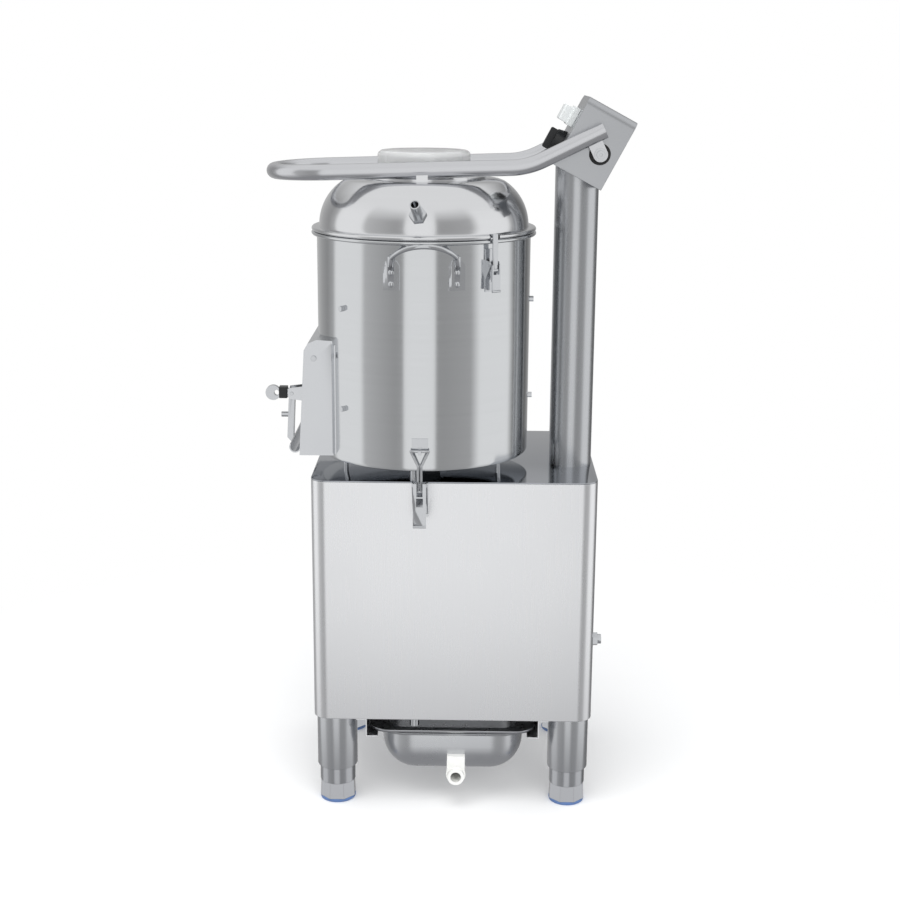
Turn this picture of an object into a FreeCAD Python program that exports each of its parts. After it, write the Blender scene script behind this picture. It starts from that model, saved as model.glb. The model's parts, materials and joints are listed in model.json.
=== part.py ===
import FreeCAD, Part
import math
import os

V = FreeCAD.Vector
UP = V(0, 0, 1)
ALONG_Y = V(0, 1, 0)
SHEET = 2.0            # stainless sheet thickness used for most panels
GAP = 0.3              # air between faces of pieces that move past each other
FIT = 0.05             # radial clearance of every pin and shaft in its hole

# The pieces are drawn about the spindle and handed over about the middle of the machine's outline
TO_MIDDLE = V(-35.5, -15.4, 0)

# Cabinet: a rounded sheet-metal box on four legs, spindle axis at x = y = 0
CAB_X0, CAB_X1 = -180.0, 288.0
CAB_Y0, CAB_Y1 = -137.0, 229.0
CAB_Z0, CAB_Z1 = 158.0, 573.0
CAB_R = 26.0
CAB_CX = (CAB_X0 + CAB_X1) / 2
GLAND_Y, GLAND_Z = -100.0, 293.0

# Legs and adjustable feet
LEG_R, LEG_IN, LEG_Z0 = 34.0, 37.5, 63.0
LEG_PLATE_Z = 66.0
STEM_R, FOOT_R, FOOT_OCT_R = 10.0, 30.0, 33.0
FOOT_LIFT = 25.0

# Peeling drum
DRUM_R, DRUM_Z0, DRUM_Z1 = 175.0, 600.0, 964.3
BEAD_R, BEAD_H = 183.8, 6.0
STANDOFF_R, STANDOFF_PCD_R = 4.0, 145.0
LINER_Z0, LINER_Z1, LINER_T = 640.0, 940.0, 9.0
LINER_SCREW_Z = (690.0, 852.0)
LINER_SCREW_ANGLES = (0.0, 135.0, -135.0)
LUG_ANGLE = 16.8       # each handle lug, either side of the handle's middle

# Spindle, bearings and abrasive disc
SPINDLE_R, SPINDLE_Z0 = 15.0, 405.0
DISC_R, DISC_Z0, DISC_Z1 = 158.0, 622.0, 634.0
BEARING_R, BEARING_H = 31.0, 16.0
BEARING_Z = (480.0, 546.0)
HOUSING_R, NECK_R, NECK_Z1 = 40.0, 26.0, 612.0

# Belt drive and motor
PULLEY_R, PULLEY_Z0, PULLEY_H = 105.0, 430.0, 26.0
MOTOR_X, MOTOR_Y, MOTOR_R = 190.0, 70.0, 68.0
MOTOR_Z0, MOTOR_Z1 = 200.0, 395.0
MOTOR_PULLEY_R, MOTOR_SHAFT_R = 35.0, 12.0
GROOVE_W, GROOVE_D, BELT_W = 9.0, 8.0, 8.0

# Discharge chute and its door on the operator's side
CHUTE_W = 100.0
CHUTE_Z0, CHUTE_Z1 = 606.0, 788.0
DOOR_W = 96.5
DOOR_PIN = (-174.0, 767.0)
CLAMP_PIN = (-221.0, 690.0)

# Column and tilted control head
COLUMN_X, COLUMN_R = 248.5, 35.5
HEAD_X, HEAD_Z, HEAD_TILT = 205.6, 1075.7, 28.0
HEAD_D, HEAD_H, HEAD_W = 86.0, 118.0, 75.0
HEAD_BEND = 13.0
BUSH_R = 17.0

# Lid lever: a U of round tube that straddles the head
LEVER_R, LEVER_WALL, LEVER_Y = 12.5, 2.0, 95.0
LEVER_TIP_X, LEVER_Z0, LEVER_SLOPE = -148.0, 1066.8, 0.0313
LEVER_BEND = (164.8, 1072.0)
LEVER_END = (283.6, 1129.7)
LEVER_BEND_R = 120.0
PIVOT = (278.3, 1092.0)
PIVOT_R = 8.0

# Lid
LID_Z0, LID_RIM_H, LID_RIM_R = 964.6, 7.8, 183.5
DOME_R, DOME_T = 171.5, 1.5
COLLAR_Z0, COLLAR_Z1, COLLAR_R = 1048.6, 1054.0, 100.0
COVER_R, COVER_Z1, COVER_T = 75.5, 1093.0, 3.0
NOZZLE_FOOT = V(-3.0, -163.0, 1000.0)
NOZZLE_DIR = V(-0.13, -0.81, 0.57)

# Over-centre latches: angles round the drum, measured from +X
LID_LATCH_ANGLE, LID_LATCH_P1, LID_LATCH_P2 = -52.0, (183.5, 925.0), (187.0, 917.5)
BASE_LATCH_P1, BASE_LATCH_P2 = (180.0, 577.0), (184.5, 569.5)

# Drain pan and strainer under the cabinet
PAN_W, PAN_Y0, PAN_Y1, PAN_Z0 = 118.5, -131.0, 185.0, 52.0
PAN_RIM_W, PAN_RIM_Z, PAN_R, PAN_T = 139.0, 128.3, 60.0, 1.5
RAIL_W = 146.0
SPOUT_X, SPOUT_Z, SPOUT_R = 60.5, 61.0, 14.0


def box(x0, x1, y0, y1, z0, z1):
    return Part.makeBox(x1 - x0, y1 - y0, z1 - z0, V(x0, y0, z0))


def rod(start, end, r):
    axis = end.sub(start)
    return Part.makeCylinder(r, axis.Length, start, axis)


def post(x, y, z0, z1, r):
    return Part.makeCylinder(r, z1 - z0, V(x, y, z0))


def ring(x, y, z0, z1, r_out, r_in):
    return post(x, y, z0, z1, r_out).cut(post(x, y, z0 - 1, z1 + 1, r_in))


def cross_rod(x, z, y0, y1, r):
    return Part.makeCylinder(r, y1 - y0, V(x, y0, z), ALONG_Y)


def outline(steps, to_point):
    """Closed wire; a step is a point, or a pair (point on the arc, end of the arc)."""
    edges = []
    last = to_point(steps[0])
    for step in steps[1:] + [steps[0]]:
        if isinstance(step[0], tuple):
            mid, end = to_point(step[0]), to_point(step[1])
            edges.append(Part.Arc(last, mid, end).toShape())
        else:
            end = to_point(step)
            if end.sub(last).Length < 1e-6:
                continue
            edges.append(Part.LineSegment(last, end).toShape())
        last = end
    return Part.Wire(edges)


def revolved(steps):
    """Solid of revolution about the spindle axis from an outline in (radius, height)."""
    face = Part.Face(outline(steps, lambda p: V(p[0], 0, p[1])))
    return face.revolve(V(0, 0, 0), UP, 360)


def side_plate(steps, y0, y1):
    """Plate from an outline in (x, z), between two y planes."""
    face = Part.Face(outline(steps, lambda p: V(p[0], y0, p[1])))
    return face.extrude(V(0, y1 - y0, 0))


def rounded_block(x0, x1, y0, y1, z0, z1, r):
    block = box(x0, x1, y0, y1, z0, z1)
    corners = [e for e in block.Edges if abs(e.tangentAt(e.FirstParameter).z) > 0.9]
    return block.makeFillet(r, corners)


def turned(shape, angle):
    out = shape.copy()
    out.rotate(V(0, 0, 0), UP, angle)
    return out


def both_sides(shape):
    return [shape, shape.mirror(V(0, 0, 0), ALONG_Y)]


def fused(shapes):
    body = shapes[0]
    for other in shapes[1:]:
        body = body.fuse(other)
    return body.removeSplitter()


def swept(edges, r):
    path = Part.Wire(edges)
    start = path.Vertexes[0].Point
    heading = edges[0].tangentAt(edges[0].FirstParameter)
    section = Part.Wire([Part.makeCircle(r, start, heading)])
    return path.makePipeShell([section], True, True)


def on_head(shape):
    """From head coordinates (x into the head, z up its panel) to the machine's frame."""
    out = shape.copy()
    out.rotate(V(0, 0, 0), ALONG_Y, HEAD_TILT)
    out.translate(V(HEAD_X, 0, HEAD_Z))
    return out


def shell_segment(r0, r1, z0, z1, half_width):
    """Piece of a cylinder wall around +X, bounded by two planes of constant y."""
    wall = ring(0, 0, z0, z1, r1, r0)
    return wall.common(box(0, r1 + 1, -half_width, half_width, z0, z1))


def leg_places():
    xs = (CAB_X0 + LEG_IN, CAB_X1 - LEG_IN)
    ys = (CAB_Y0 + LEG_IN, CAB_Y1 - LEG_IN)
    return {"front_left": (xs[0], ys[0]), "front_right": (xs[1], ys[0]),
            "rear_left": (xs[0], ys[1]), "rear_right": (xs[1], ys[1])}


def cabinet_shell():
    outer = rounded_block(CAB_X0, CAB_X1, CAB_Y0, CAB_Y1, CAB_Z0, CAB_Z1 - SHEET, CAB_R)
    inner = rounded_block(CAB_X0 + SHEET, CAB_X1 - SHEET, CAB_Y0 + SHEET, CAB_Y1 - SHEET,
                          CAB_Z0 - 1, CAB_Z1, CAB_R - SHEET)
    wall = outer.cut(inner)
    gland_hole = rod(V(CAB_X1 - 10, GLAND_Y, GLAND_Z), V(CAB_X1 + 10, GLAND_Y, GLAND_Z), 8.0)
    return wall.cut(gland_hole)


def top_plate():
    plate = rounded_block(CAB_X0, CAB_X1, CAB_Y0, CAB_Y1, CAB_Z1 - SHEET, CAB_Z1, CAB_R)
    for x, y, r in ((0, 0, NECK_R), (-10, -125, 8.5), (COLUMN_X, 0, COLUMN_R - 6)):
        plate = plate.cut(post(x, y, CAB_Z1 - 10, CAB_Z1 + 10, r))
    return plate


def base_plate():
    inset = SHEET
    plate = rounded_block(CAB_X0 + inset, CAB_X1 - inset, CAB_Y0 + inset, CAB_Y1 - inset,
                          CAB_Z0, CAB_Z0 + SHEET, CAB_R - inset)
    plate = plate.cut(post(-10, -125, CAB_Z0 - 1, CAB_Z0 + 5, 8.5))
    for i in range(5):
        x = CAB_CX - 60 + 30 * i
        plate = plate.cut(rounded_block(x - 5, x + 5, -20, 120, CAB_Z0 - 1, CAB_Z0 + 5, 4.9))
    return plate


def service_panel():
    x0, x1, z0, z1 = CAB_CX - 130, CAB_CX + 130, 215.0, 505.0
    y0 = CAB_Y1
    panel = box(x0, x1, y0, y0 + 1.5, z0, z1)
    parts = [panel]
    for i in range(6):
        z = z0 + 40 + 16 * i
        louvre = rod(V(CAB_CX - 70, y0 + 1.5, z), V(CAB_CX + 70, y0 + 1.5, z), 4.0)
        parts.append(louvre.common(box(x0, x1, y0 + 1, y0 + 10, z, z + 10)))
    for x in (x0 + 12, x1 - 12):
        for z in (z0 + 12, z1 - 12):
            parts.append(rod(V(x, y0 + 1, z), V(x, y0 + 3.8, z), 5.0))
    return fused(parts)


def leg_tubes():
    tubes = []
    for x, y in leg_places().values():
        tube = ring(x, y, LEG_Z0, CAB_Z0, LEG_R, LEG_R - SHEET)
        nut = ring(x, y, LEG_PLATE_Z, LEG_PLATE_Z + 10, LEG_R - 1, STEM_R + FIT)
        tubes.append(tube.fuse(nut).removeSplitter())
    return Part.makeCompound(tubes)


def foot(x, y):
    """Adjustable foot: threaded stem, round collar, octagonal skirt and a moulded pad."""
    corners = []
    for i in range(9):
        a = math.radians(22.5 + 45 * i)
        corners.append(V(x + FOOT_OCT_R * math.cos(a), y + FOOT_OCT_R * math.sin(a), 6))
    skirt = Part.Face(Part.makePolygon(corners)).extrude(V(0, 0, 30))
    cone = Part.makeCone(FOOT_OCT_R + 1, FOOT_R, 32, V(x, y, 6))
    collar = post(x, y, 34, LEG_PLATE_Z - 1, FOOT_R)
    stem = post(x, y, 60, 112, STEM_R)
    return fused([skirt.common(cone), collar, stem])


def foot_pad(x, y):
    pad = post(x, y, 0, 6, FOOT_R)
    return pad.makeChamfer(1.5, [pad.Edges[2]])


def foot_with_pad(x, y):
    return Part.makeCompound([foot(x, y), foot_pad(x, y)])


def pan_rails():
    rails = []
    for side in (-1, 1):
        def at(w0, w1, z0, z1):
            xs = sorted((CAB_CX + side * w0, CAB_CX + side * w1))
            return box(xs[0], xs[1], CAB_Y0 + 2, CAB_Y1 - 8, z0, z1)
        web = at(RAIL_W - SHEET, RAIL_W, PAN_RIM_Z - GAP - SHEET, CAB_Z0)
        ledge = at(RAIL_W - 20, RAIL_W, PAN_RIM_Z - GAP - SHEET, PAN_RIM_Z - GAP)
        flange = at(RAIL_W, RAIL_W + 16, CAB_Z0 - SHEET, CAB_Z0)
        rails.append(fused([web, ledge, flange]))
    return Part.makeCompound(rails)


def pan_form(w, y0, y1, z0, z1, r_side, r_bottom):
    block = rounded_block(CAB_CX - w, CAB_CX + w, y0, y1, z0, z1, r_side)
    low = [e for e in block.Edges if max(v.Z for v in e.Vertexes) < z0 + 0.01]
    return block.makeFillet(r_bottom, low)


def pan(w, y0, y1, z0, rim_z, rim_h, r_bottom):
    """Pressed pan: a deep rounded well with a flat rim that hangs on the rails."""
    well = pan_form(w, y0, y1, z0, rim_z + rim_h, r_bottom, r_bottom - 0.5)
    rim = rounded_block(CAB_CX - PAN_RIM_W, CAB_CX + PAN_RIM_W, PAN_Y0 - 4, PAN_Y1 + 4,
                        rim_z, rim_z + rim_h, 12.0)
    inside = pan_form(w - PAN_T, y0 + PAN_T, y1 - PAN_T, z0 + PAN_T, rim_z + rim_h + 5,
                      r_bottom - PAN_T, r_bottom - PAN_T - 0.5)
    return well.fuse(rim).cut(inside).removeSplitter()


def drain_pan():
    body = pan(PAN_W, PAN_Y0, PAN_Y1, PAN_Z0, PAN_RIM_Z, 4.2, PAN_R)
    outlet = rod(V(SPOUT_X, PAN_Y0 - 10, SPOUT_Z), V(SPOUT_X, -60, SPOUT_Z), 9.0)
    return body.cut(outlet)


def strainer_pan():
    body = pan(108.0, PAN_Y0 + 10, PAN_Y1 - 10, 92.0, PAN_RIM_Z + 4.4, 5.6, 36.0)
    for i in range(6):
        for j in range(4):
            x, y = CAB_CX - 66 + 44 * j, -68 + 38 * i
            body = body.cut(post(x, y, 85, 100, 8.0))
    return body


def drain_spout():
    nozzle = rod(V(SPOUT_X, -152, SPOUT_Z), V(SPOUT_X, -80, SPOUT_Z), SPOUT_R)
    body = box(SPOUT_X - 15, SPOUT_X + 15, -141, -110, SPOUT_Z, 94)
    body = body.fuse(rod(V(SPOUT_X, -141, SPOUT_Z), V(SPOUT_X, -90, SPOUT_Z), 16.5))
    whole = nozzle.fuse(body)
    well = pan_form(PAN_W, PAN_Y0, PAN_Y1, PAN_Z0, PAN_RIM_Z, PAN_R, PAN_R - 0.5)
    whole = whole.cut(well)
    bore = rod(V(SPOUT_X, -153, SPOUT_Z), V(SPOUT_X, -60, SPOUT_Z), 9.0)
    return whole.cut(bore).removeSplitter()


def drain_pipe():
    return ring(-10, -125, 145.0, DRUM_Z0 + SHEET, 8.0, 6.5)


def cable_gland():
    y, z = GLAND_Y, GLAND_Z
    body = rod(V(CAB_X1 - 14, y, z), V(CAB_X1 + 14, y, z), 8.0)
    nut = hexagon(V(CAB_X1, y, z), V(1, 0, 0), 20.0, 8.0)
    inner_nut = hexagon(V(CAB_X1 - SHEET - 5, y, z), V(1, 0, 0), 18.0, 5.0)
    bore = rod(V(CAB_X1 - 20, y, z), V(CAB_X1 + 20, y, z), 4.5)
    return fused([body, nut, inner_nut]).cut(bore)


def hexagon(foot_point, direction, across, height):
    r = across / math.sqrt(3)
    points = [V(r * math.cos(math.radians(60 * i)), r * math.sin(math.radians(60 * i)), 0)
              for i in range(7)]
    prism = Part.Face(Part.makePolygon(points)).extrude(V(0, 0, height))
    prism.Placement = FreeCAD.Placement(foot_point, FreeCAD.Rotation(UP, direction))
    return prism


def motor_body():
    body = post(MOTOR_X, MOTOR_Y, MOTOR_Z0, MOTOR_Z1, MOTOR_R)
    fins = []
    for i in range(10):
        fin = box(MOTOR_R - 2, MOTOR_R + 5, -2, 2, MOTOR_Z0 + 25, MOTOR_Z1 - 25)
        fin = turned(fin, 36 * i)
        fin.translate(V(MOTOR_X, MOTOR_Y, 0))
        fins.append(fin)
    box_side = box(MOTOR_X - 30, MOTOR_X + 30, MOTOR_Y + MOTOR_R - 10, MOTOR_Y + MOTOR_R + 28,
                   260, 340)
    body = fused([body, box_side] + fins)
    return body.cut(post(MOTOR_X, MOTOR_Y, MOTOR_Z1 - 60, MOTOR_Z1 + 1, MOTOR_SHAFT_R + FIT))


def motor_shaft():
    return post(MOTOR_X, MOTOR_Y, MOTOR_Z1 - 59, PULLEY_Z0 + PULLEY_H, MOTOR_SHAFT_R)


def motor_plate():
    """Plate that carries the motor's flange, bent up to bolt under the top plate."""
    plate = box(MOTOR_X - 80, CAB_X1 - SHEET - 0.5, MOTOR_Y - 80, MOTOR_Y + 80,
                MOTOR_Z1, MOTOR_Z1 + 6)
    plate = plate.cut(post(MOTOR_X, MOTOR_Y, MOTOR_Z1 - 1, MOTOR_Z1 + 10, 30.0))
    wall = box(CAB_X1 - SHEET - 6, CAB_X1 - SHEET, MOTOR_Y - 80, MOTOR_Y + 80,
               MOTOR_Z1, CAB_Z1 - SHEET)
    return plate.fuse(wall).removeSplitter()


def grooved_pulley(x, y, r, bore_r):
    wheel = ring(x, y, PULLEY_Z0, PULLEY_Z0 + PULLEY_H, r, bore_r)
    for z in groove_heights():
        wheel = wheel.cut(ring(x, y, z, z + GROOVE_W, r + 1, r - GROOVE_D))
    return wheel


def groove_heights():
    rib = (PULLEY_H - 2 * GROOVE_W) / 3
    return (PULLEY_Z0 + rib, PULLEY_Z0 + 2 * rib + GROOVE_W)


def drive_pulley():
    wheel = grooved_pulley(0, 0, PULLEY_R, SPINDLE_R)
    for i in range(5):
        hole = turned(post(62, 0, PULLEY_Z0 - 1, PULLEY_Z0 + PULLEY_H + 1, 20.0), 72 * i)
        wheel = wheel.cut(hole)
    return wheel


def motor_pulley():
    return grooved_pulley(MOTOR_X, MOTOR_Y, MOTOR_PULLEY_R, MOTOR_SHAFT_R)


def belt_region(grow):
    """Flat region inside a belt round both pulleys, grown outwards by a distance."""
    big = PULLEY_R - GROOVE_D + grow
    small = MOTOR_PULLEY_R - GROOVE_D + grow
    span = math.hypot(MOTOR_X, MOTOR_Y)
    heading = math.atan2(MOTOR_Y, MOTOR_X)
    lean = math.acos((big - small) / span)
    corners = []
    for x, y, r, a in ((0, 0, big, lean), (MOTOR_X, MOTOR_Y, small, lean),
                       (MOTOR_X, MOTOR_Y, small, -lean), (0, 0, big, -lean)):
        corners.append(V(x + r * math.cos(heading + a), y + r * math.sin(heading + a), 0))
    strip = Part.Face(Part.makePolygon(corners + [corners[0]]))
    region = strip.extrude(V(0, 0, BELT_W))
    region = region.fuse(post(0, 0, 0, BELT_W, big))
    return region.fuse(post(MOTOR_X, MOTOR_Y, 0, BELT_W, small)).removeSplitter()


def drive_belts():
    loop = belt_region(6.5).cut(belt_region(GAP))
    belts = []
    for z in groove_heights():
        belt = loop.copy()
        belt.translate(V(0, 0, z + (GROOVE_W - BELT_W) / 2))
        belts.append(belt)
    return Part.makeCompound(belts)


def bearing_housing():
    """Turned housing: flange bolted up under the top plate, neck standing in the drum."""
    b0, b1 = BEARING_Z
    return revolved([(NECK_R, NECK_Z1), (NECK_R, CAB_Z1 - SHEET - 8), (HOUSING_R, CAB_Z1 - SHEET - 8),
                     (HOUSING_R, b0), (BEARING_R, b0), (BEARING_R, b0 + BEARING_H),
                     (SPINDLE_R + 3, b0 + BEARING_H), (SPINDLE_R + 3, b1), (BEARING_R, b1),
                     (BEARING_R, b1 + BEARING_H), (SPINDLE_R + 3, b1 + BEARING_H),
                     (SPINDLE_R + 3, NECK_Z1 - 8), (NECK_R - 3, NECK_Z1 - 8), (NECK_R - 3, NECK_Z1)])


def housing_flange():
    flange = ring(0, 0, CAB_Z1 - SHEET - 8, CAB_Z1 - SHEET, 62.0, NECK_R)
    for i in range(4):
        flange = flange.cut(turned(post(52, 0, CAB_Z1 - 20, CAB_Z1, 4.0), 45 + 90 * i))
    return flange


def bearings():
    rings = []
    for z in BEARING_Z:
        race = ring(0, 0, z, z + BEARING_H, BEARING_R, SPINDLE_R + FIT)
        for face_z in (z - 1, z + BEARING_H - 1.5):
            race = race.cut(ring(0, 0, face_z, face_z + 2.5, 26.5, 20.0))
        rings.append(race)
    return Part.makeCompound(rings)


def water_seal():
    return ring(0, 0, NECK_Z1 - 8, NECK_Z1, NECK_R - 3, SPINDLE_R + FIT)


def spindle():
    shaft = post(0, 0, SPINDLE_Z0, DISC_Z1, SPINDLE_R)
    nut = hexagon(V(0, 0, DISC_Z1), UP, 46.0, 10.0)
    dome = Part.makeSphere(20.0, V(0, 0, DISC_Z1 + 2)).common(post(0, 0, DISC_Z1 + 9, 700, 21))
    return fused([shaft, nut, dome])


def abrasive_disc():
    """Rotating disc with three radial waves that throw the load against the wall."""
    disc = post(0, 0, DISC_Z0, DISC_Z1, DISC_R)
    hub = post(0, 0, NECK_Z1 + 2, DISC_Z0 + 1, 32.0)
    waves = []
    for i in range(3):
        wave = rod(V(40, 0, DISC_Z1 - 22), V(DISC_R - 6, 0, DISC_Z1 - 22), 34.0)
        wave = wave.common(box(30, DISC_R, -50, 50, DISC_Z0 + 2, DISC_Z1 + 20))
        waves.append(turned(wave, 120 * i))
    return fused([disc, hub] + waves).cut(post(0, 0, 500, 700, SPINDLE_R))


def drum_shell():
    """Drum wall and bottom in one, with the rolled bead round the top edge."""
    wall_r = DRUM_R - SHEET
    bead_low = DRUM_Z1 - BEAD_H
    shell = revolved([(NECK_R + 1, DRUM_Z0), (DRUM_R, DRUM_Z0), (DRUM_R, bead_low),
                      (BEAD_R - 3, bead_low), ((BEAD_R, bead_low + 3), (BEAD_R - 3, DRUM_Z1)),
                      (wall_r, DRUM_Z1), (wall_r, DRUM_Z0 + SHEET), (NECK_R + 1, DRUM_Z0 + SHEET)])
    shell = shell.cut(box(-200, -100, -CHUTE_W + SHEET, CHUTE_W - SHEET, CHUTE_Z0, CHUTE_Z1))
    shell = shell.cut(post(-10, -125, DRUM_Z0 - 5, DRUM_Z0 + 5, 8.0))
    return shell.cut(liner_holes())


def liner_holes():
    holes = []
    for angle in LINER_SCREW_ANGLES:
        for z in LINER_SCREW_Z:
            holes.append(turned(rod(V(160, 0, z), V(190, 0, z), 2.6), angle))
    return Part.makeCompound(holes)


def abrasive_liner():
    r1 = DRUM_R - SHEET - GAP
    liner = ring(0, 0, LINER_Z0, LINER_Z1, r1, r1 - LINER_T)
    liner = liner.cut(box(-200, -100, -CHUTE_W + SHEET, CHUTE_W - SHEET, 600, CHUTE_Z1))
    return liner.cut(liner_holes())


def liner_screws():
    screws = []
    for angle in LINER_SCREW_ANGLES:
        for z in LINER_SCREW_Z:
            shank = rod(V(DRUM_R - 9, 0, z), V(DRUM_R + 1, 0, z), 2.5)
            head = hexagon(V(DRUM_R + 0.1, 0, z), V(1, 0, 0), 8.0, 6.5)
            screws.append(turned(shank.fuse(head), angle))
    return Part.makeCompound(screws)


def drum_standoffs():
    pins = [turned(post(STANDOFF_PCD_R, 0, CAB_Z1, DRUM_Z0, STANDOFF_R), -30 + 120 * i)
            for i in range(3)]
    return Part.makeCompound(pins)


def handle():
    """Riveted pot handle: an arched rod between two lugs."""
    root_x = 179.0 * math.cos(math.radians(LUG_ANGLE))
    root_y = 179.0 * math.sin(math.radians(LUG_ANGLE))
    arch = Part.Arc(V(root_x, -root_y, 937), V(200, 0, 959), V(root_x, root_y, 937)).toShape()
    parts = [swept([arch], 3.8)]
    for side in (-1, 1):
        lug = shell_segment(DRUM_R, DRUM_R + 2, 888, 923, 13.0)
        top = rod(V(150, 0, 923), V(200, 0, 923), 13.0)
        cap = ring(0, 0, 900, 940, DRUM_R + 2, DRUM_R).common(top)
        eye = rod(V(178.8, 0, 925), V(178.8, 0, 941), 5.0)
        parts.append(turned(fused([lug, cap, eye]), side * LUG_ANGLE))
    body = fused(parts)
    return body.cut(post(0, 0, 850, 1000, DRUM_R))


def drum_handles():
    return Part.makeCompound([turned(handle(), -88), turned(handle(), 92)])


def handle_rivets():
    rivets = []
    for centre in (-88, 92):
        for side in (-LUG_ANGLE, LUG_ANGLE):
            for z in (897.5, 915.5):
                r0 = DRUM_R + 2
                head = Part.makeSphere(6.0, V(r0 - 3.6, 0, z)).common(box(r0, 190, -9, 9, z - 9, z + 9))
                rivets.append(turned(head, centre + side))
    return Part.makeCompound(rivets)


def chute_body():
    """Side cheeks, sloped top, floor and welded flanges of the discharge chute."""
    cheek = side_plate([(-130, 794.5), (-169.3, 796.9), (-183.6, 790.8), (-188.6, 782),
                        (-199.5, CHUTE_Z0), (-130, CHUTE_Z0)], -CHUTE_W, -CHUTE_W + SHEET)
    roof = side_plate([(-130, 794.5), (-169.3, 796.9), (-183.6, 790.8), (-184.6, 788.9),
                       (-169, 794.8), (-130, 792.5)], -CHUTE_W + SHEET, CHUTE_W - SHEET)
    floor = box(-195, -130, -CHUTE_W + SHEET, CHUTE_W - SHEET, CHUTE_Z0, CHUTE_Z0 + SHEET)
    keeper = side_plate([(-178, CHUTE_Z0), (-198, CHUTE_Z0 - 8), (-222, CHUTE_Z0 - 8),
                         (-222, CHUTE_Z0 - 1.5), (-220, CHUTE_Z0 - 1.5), (-220, CHUTE_Z0 - 6),
                         (-197.5, CHUTE_Z0 - 6), (-177, CHUTE_Z0 + SHEET)], -15, 15)
    flange_wall = ring(0, 0, CHUTE_Z0 + 4, 790, DRUM_R + 1.5, DRUM_R)
    flange = flange_wall.common(box(-160, -100, -CHUTE_W - 7, -CHUTE_W, CHUTE_Z0 + 4, 790))
    body = fused(both_sides(cheek) + [roof, floor, keeper] + both_sides(flange))
    body = body.cut(post(0, 0, 500, 900, DRUM_R))
    pin_holes = cross_rod(DOOR_PIN[0], DOOR_PIN[1], -120, 120, 3.0)
    return body.cut(pin_holes)


def chute_door():
    """Flap hung from two pins; its lower edge is curled into a drip lip."""
    sheet = side_plate([(-188.3, 779), (-190.3, 779), (-199.3, 620), ((-206.6, 611.3), (-213.4, 623)),
                        (-215.3, 623.7), ((-206.5, 609.3), (-197.3, 620))], -DOOR_W, DOOR_W)
    ear = side_plate([(-188.5, 778), (-168, 774), (-166, 767), (-168, 760), (-194, 705)],
                     -DOOR_W, -DOOR_W + SHEET)
    cheek = side_plate([(-194, 703), (-226, 699), (-228, 690), (-226, 681), (-195.5, 677)], -12, -10)
    foot_strip = side_plate([(-194, 703), (-196.7, 703), (-198.2, 677), (-195.5, 677)], -12, 12)
    door = fused([sheet] + both_sides(ear) + both_sides(cheek) + [foot_strip])
    door = door.cut(cross_rod(DOOR_PIN[0], DOOR_PIN[1], -120, 120, 3.0))
    return door.cut(cross_rod(CLAMP_PIN[0], CLAMP_PIN[1], -20, 20, 3.0))


def door_seal():
    """Rubber frame behind the door sheet."""
    outer = side_plate([(-190.5, 770), (-184.5, 770), (-193.0, 622), (-199.0, 622)], -90, 90)
    inner = side_plate([(-193.0, 758), (-180.0, 758), (-188.0, 634), (-201.0, 634)], -78, 78)
    sheet = side_plate([(-188.3, 779), (-230, 779), (-230, 620), (-197.3, 620)], -91, 91)
    return outer.cut(inner).cut(sheet)


def door_hinge_pins():
    x, z = DOOR_PIN
    shank = cross_rod(x, z, -CHUTE_W, -DOOR_W + SHEET + 2, 3.0 - FIT)
    head = cross_rod(x, z, -CHUTE_W - 3, -CHUTE_W, 4.5)
    return Part.makeCompound(both_sides(shank.fuse(head)))


def door_clamp():
    """Clamp lever: ring pull outside, strap with an adjusting bolt and a foot inside."""
    x, z = CLAMP_PIN
    strap = side_plate([(x - 5, z), (x + 5, z), (-219.5, 617), (-215, 610), (-215, 605.2),
                        (-222, 605.2), (-230, 614)], -9, 9)
    hub = cross_rod(x, z, -9.7, 9.7, 7.0)
    pull = side_plate([(x, z + 6), (-244, z + 8), ((-266, z - 1), (-244, z - 9)), (x, z - 6)], -4, 4)
    slot = side_plate([(-246, z + 4.5), ((-251.5, z), (-246, z - 5.5)), (-242, z)], -5, 5)
    pin = cross_rod(x, z, -13.5, 13.5, 3.0 - FIT)
    bolt = rod(V(-240, 0, 652), V(-224, 0, 652), 4.5)
    return fused([strap, hub, pull.cut(slot), pin, bolt])


def clamp_grip():
    x, z = CLAMP_PIN
    block = side_plate([(x - 8, z + 10), (x - 22, z + 10), (x - 22, z - 9), (x - 8, z - 9)], -9, 9)
    pull = side_plate([(x, z + 6), (-244, z + 8), (-244, z - 9), (x, z - 6)], -4, 4)
    return block.cut(pull)


def lid_latch_base():
    """Riveted base with two ears that carry the latch lever's pin."""
    px, pz = LID_LATCH_P1
    plate = shell_segment(DRUM_R, DRUM_R + 1.5, 883, 950, 10.0)
    ear = side_plate([(176, pz + 8), (px + 3, pz + 5), (px + 4, pz), (px + 2, pz - 5), (176, pz - 22)],
                     -10, -8.5)
    body = fused([plate] + both_sides(ear)).cut(post(0, 0, 850, 990, DRUM_R))
    body = body.cut(cross_rod(px, pz, -20, 20, 1.5))
    return turned(body, LID_LATCH_ANGLE)


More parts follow.
